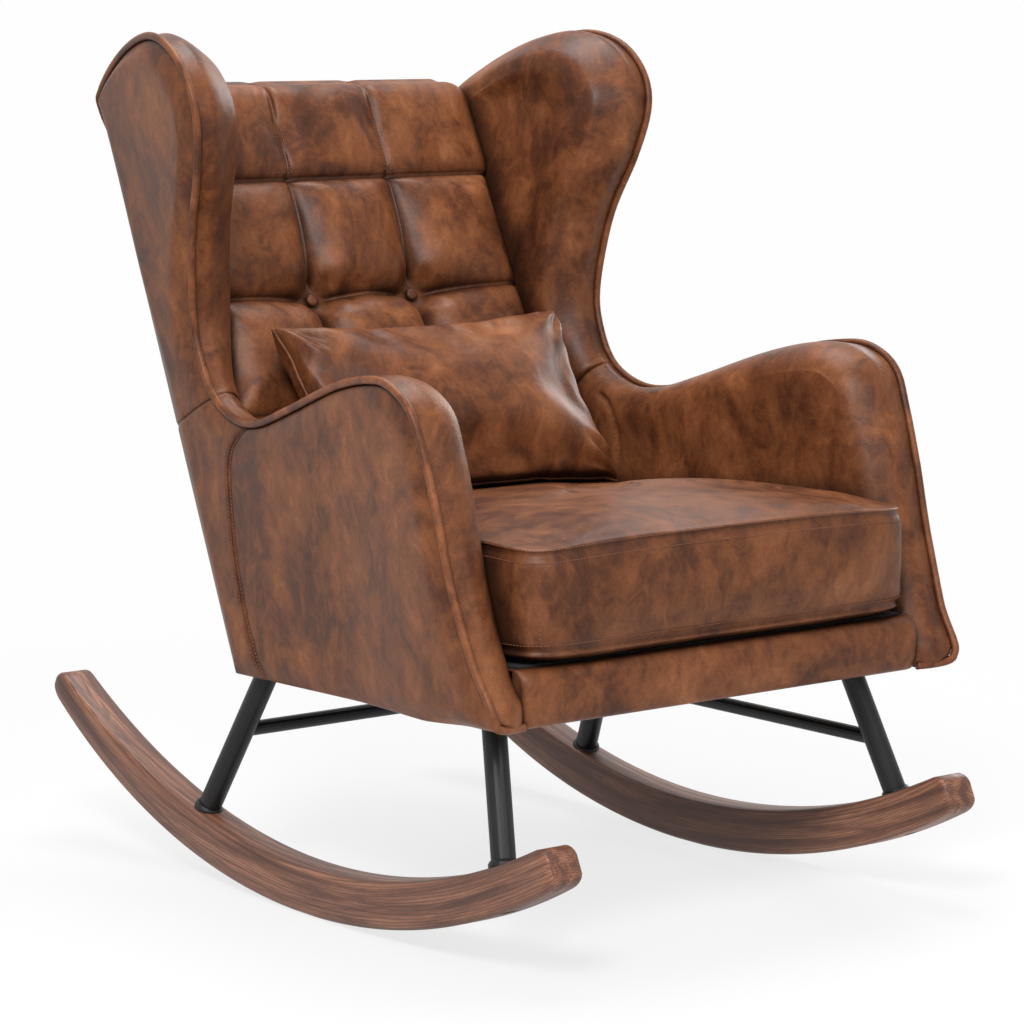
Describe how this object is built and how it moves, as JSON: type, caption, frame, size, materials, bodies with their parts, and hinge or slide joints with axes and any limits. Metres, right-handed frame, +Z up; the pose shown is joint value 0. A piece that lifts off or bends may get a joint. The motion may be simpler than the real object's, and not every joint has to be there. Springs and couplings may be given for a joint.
{
  "type": "rocking chair",
  "caption": "Wingback rocking armchair with a tufted leather back, loose seat cushion and lumbar pillow, on steel legs and curved wooden rockers.",
  "frame": {"origin": "on the floor, under the middle of the chair's length and width", "axes": "+Z up, the sitter looks along -Y, +X is the sitter's left"},
  "size_m": [0.7334, 1.0181, 1.0171],
  "materials": {
    "leather": "satin",
    "piping": "satin",
    "walnut": "satin",
    "black_steel": "satin",
    "zinc": "satin",
    "plywood": "matte",
    "webbing": "matte",
    "lining": "matte"
  },
  "bodies": {
    "frame": {"leg_front_right": "black_steel", "leg_collar_front_right": "black_steel", "leg_plate_front_right": "black_steel", "rocker_bolt_front_right": "zinc", "leg_rear_right": "black_steel", "leg_collar_rear_right": "black_steel", "leg_plate_rear_right": "black_steel", "rocker_bolt_rear_right": "zinc", "leg_front_left": "black_steel", "leg_collar_front_left": "black_steel", "leg_plate_front_left": "black_steel", "rocker_bolt_front_left": "zinc", "leg_rear_left": "black_steel", "leg_collar_rear_left": "black_steel", "leg_plate_rear_left": "black_steel", "rocker_bolt_rear_left": "zinc", "rocker_right": "walnut", "arm_cover_right": "leather", "wing_cover_right": "leather", "side_shell_right": "plywood", "arm_pad_right": "leather", "wing_pad_right": "leather", "side_piping_right": "piping", "side_rail_right": "plywood", "corner_block_front_right": "plywood", "corner_block_rear_right": "plywood", "rocker_left": "walnut", "arm_cover_left": "leather", "wing_cover_left": "leather", "side_shell_left": "plywood", "arm_pad_left": "leather", "wing_pad_left": "leather", "side_piping_left": "piping", "side_rail_left": "plywood", "corner_block_front_left": "plywood", "corner_block_rear_left": "plywood", "rear_stretcher": "black_steel", "side_stretcher_left": "black_steel", "front_rail": "plywood", "rear_rail": "plywood", "seat_strap_1": "webbing", "seat_strap_2": "webbing", "seat_strap_3": "webbing", "seat_strap_4": "webbing", "seat_strap_5": "webbing", "seat_deck": "lining", "dust_cover": "lining", "front_apron": "leather", "back_outer_panel": "leather", "back_frame": "plywood", "back_cushion": "leather", "tuft_button_1": "leather", "tuft_button_2": "leather", "tuft_button_3": "leather", "tuft_button_4": "leather"},
    "seat_cushion_body": {"seat_cushion": "leather"},
    "pillow_body": {"lumbar_pillow": "leather"}
  },
  "joints": [
    {"name": "seat_cushion_pull", "type": "slide", "parent": "frame", "child": "seat_cushion_body", "axis": [0, -0.9995, 0.0302], "range_m": [0, 0.35]},
    {"name": "pillow_lift", "type": "slide", "parent": "seat_cushion_body", "child": "pillow_body", "axis": [0, 0, 1], "range_m": [0, 0.25]}
  ]
}
